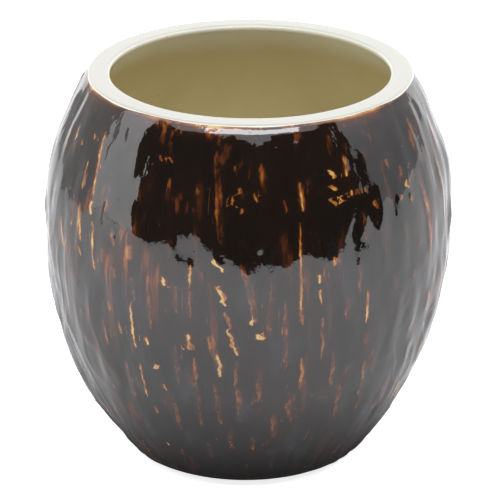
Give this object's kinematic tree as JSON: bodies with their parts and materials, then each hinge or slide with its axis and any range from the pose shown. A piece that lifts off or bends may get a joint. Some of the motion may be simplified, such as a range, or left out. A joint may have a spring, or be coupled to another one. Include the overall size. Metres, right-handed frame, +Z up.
{
  "type": "coconut tiki mug",
  "caption": "Free-standing ceramic tiki mug shaped like a coconut with its top cut off, glazed dark brown outside and cream inside, on a bare clay foot ring.",
  "frame": {"origin": "centre of the foot ring, on the surface that the mug stands on", "axes": "+Z up the mug's axis towards the lip; -Y towards the side with the longest amber streaks; +X to the right of that side"},
  "size_m": [0.1, 0.1, 0.098],
  "materials": {
    "bare_clay": "matte",
    "brown_glaze": "polished",
    "cream_glaze": "gloss"
  },
  "bodies": {
    "root": {"clay_body": "bare_clay", "outer_glaze": "brown_glaze", "liner_glaze": "cream_glaze", "foot_recess_glaze": "brown_glaze"}
  },
  "joints": []
}
